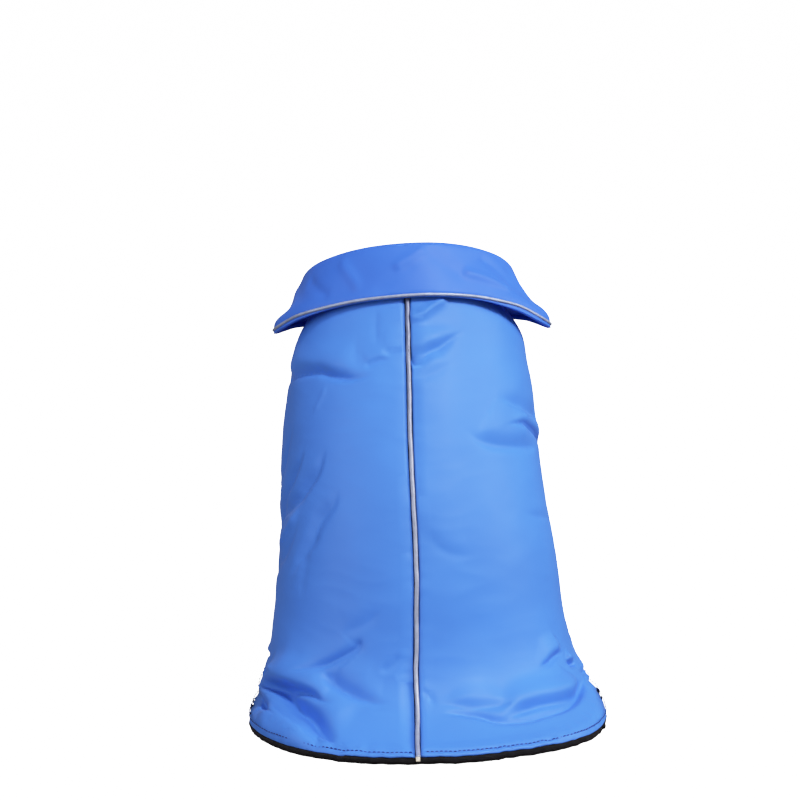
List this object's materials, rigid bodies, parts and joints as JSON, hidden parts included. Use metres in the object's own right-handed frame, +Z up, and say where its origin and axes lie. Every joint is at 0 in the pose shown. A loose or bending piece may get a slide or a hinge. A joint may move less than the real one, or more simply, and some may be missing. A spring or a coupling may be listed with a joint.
{
  "type": "dog jacket",
  "caption": "Lined jacket for a small dog, cape cut, as worn: turned-down collar, piped centre-back seam, and chest and belly flaps that lap at the front.",
  "frame": {"origin": "centre of the neck opening, in the plane of the neck seam", "axes": "+Z up, -Y towards the wearer's back and the tail, +Y towards the chest, +X towards the wearer's right"},
  "size_m": [0.2619, 0.2994, 0.338],
  "materials": {
    "shell_nylon": "satin blue nylon with a fine plain weave, lightly padded",
    "collar_nylon": "the same satin blue nylon, two layers over an interlining",
    "lining_fleece": "black fleece with a short pile",
    "reflective_piping": "grey reflective tape over a cord, soft metallic sheen"
  },
  "bodies": {
    "root": {"body_left": "shell_nylon", "body_right": "shell_nylon", "lining": "lining_fleece", "collar": "collar_nylon", "piping_back": "reflective_piping", "piping_collar": "reflective_piping"}
  },
  "joints": []
}
